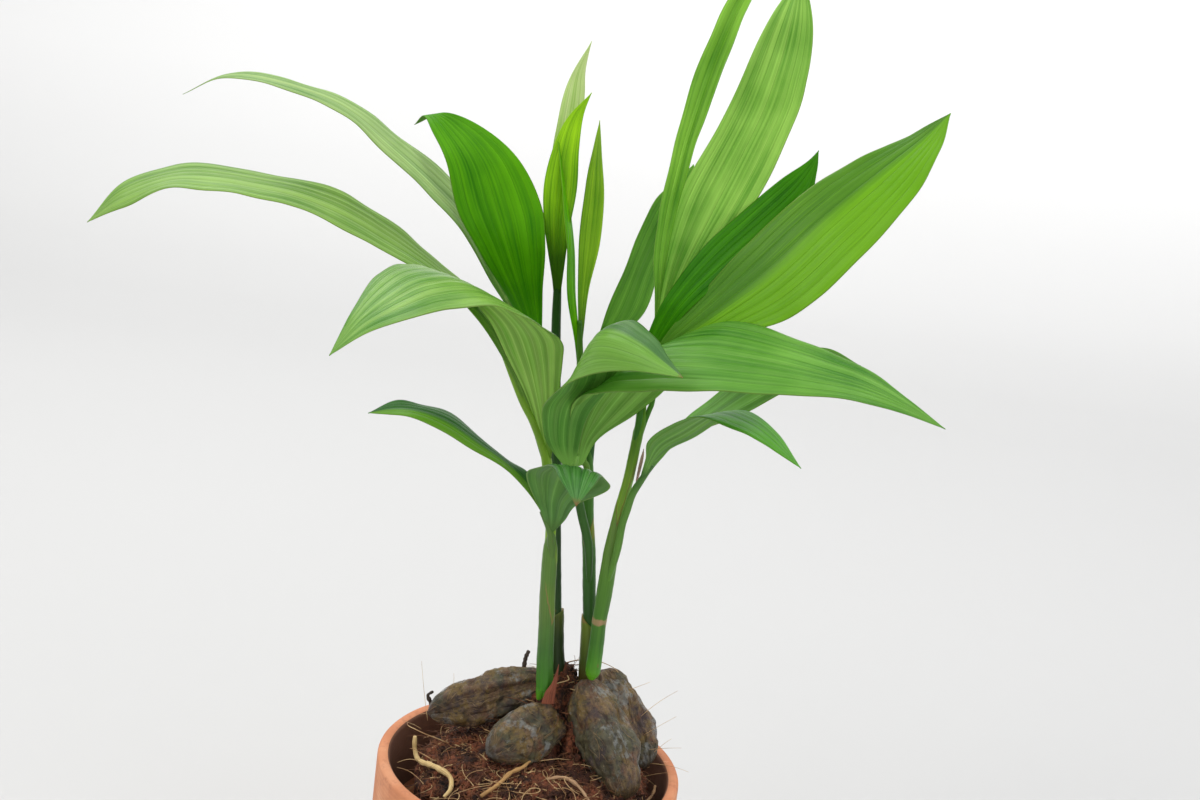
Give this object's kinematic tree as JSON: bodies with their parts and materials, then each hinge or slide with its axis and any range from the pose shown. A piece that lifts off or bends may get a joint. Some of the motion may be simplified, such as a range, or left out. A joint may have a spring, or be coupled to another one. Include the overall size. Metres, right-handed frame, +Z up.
{
  "type": "potted palm",
  "caption": "Sprouting palm seedlings with two-lobed pleated leaves growing from husked nuts, in a round terracotta pot that stands on its flat base.",
  "frame": {"origin": "centre of the pot's base, on the surface that the pot stands on", "axes": "+Z up through the pot's axis, -Y to the front of the plant, +X to its right"},
  "size_m": [0.3116, 0.1527, 0.4323],
  "materials": {
    "terracotta": "matt unglazed terracotta",
    "soil": "loose moist coir fibre and soil",
    "husk": "weathered fibrous nut husk, mottled brown, grey and olive",
    "stem": "smooth waxy green stem with fine lengthwise ribs",
    "leaf": "satin pleated green leaf, paler underneath",
    "sheath": "yellow-green cut leaf sheath",
    "dry_scale": "dry reddish-brown papery scale",
    "root": "pale fleshy to tan root",
    "twig": "dark dry twig"
  },
  "bodies": {
    "root": {"pot": "terracotta", "soil": "soil", "nut_left": "husk", "nut_centre": "husk", "nut_front_right": "husk", "nut_back_right": "husk", "stem_a": "stem", "stem_b": "stem", "stem_c": "stem", "stem_d": "stem", "leaf_a_low": "leaf", "leaf_a_high": "leaf", "leaf_b_wide": "leaf", "leaf_b_young": "leaf", "leaf_c_young": "leaf", "leaf_c_back": "leaf", "leaf_c_front": "leaf", "leaf_d_low": "leaf", "leaf_d_right": "leaf", "leaf_d_tall": "leaf", "sheath_b": "sheath", "sheath_c": "sheath", "scale_a": "dry_scale", "scrap_d": "dry_scale", "root_white": "root", "root_tan": "root", "root_front": "root", "root_edge_right": "root", "twig_upright": "twig", "twig_left": "twig"}
  },
  "joints": []
}
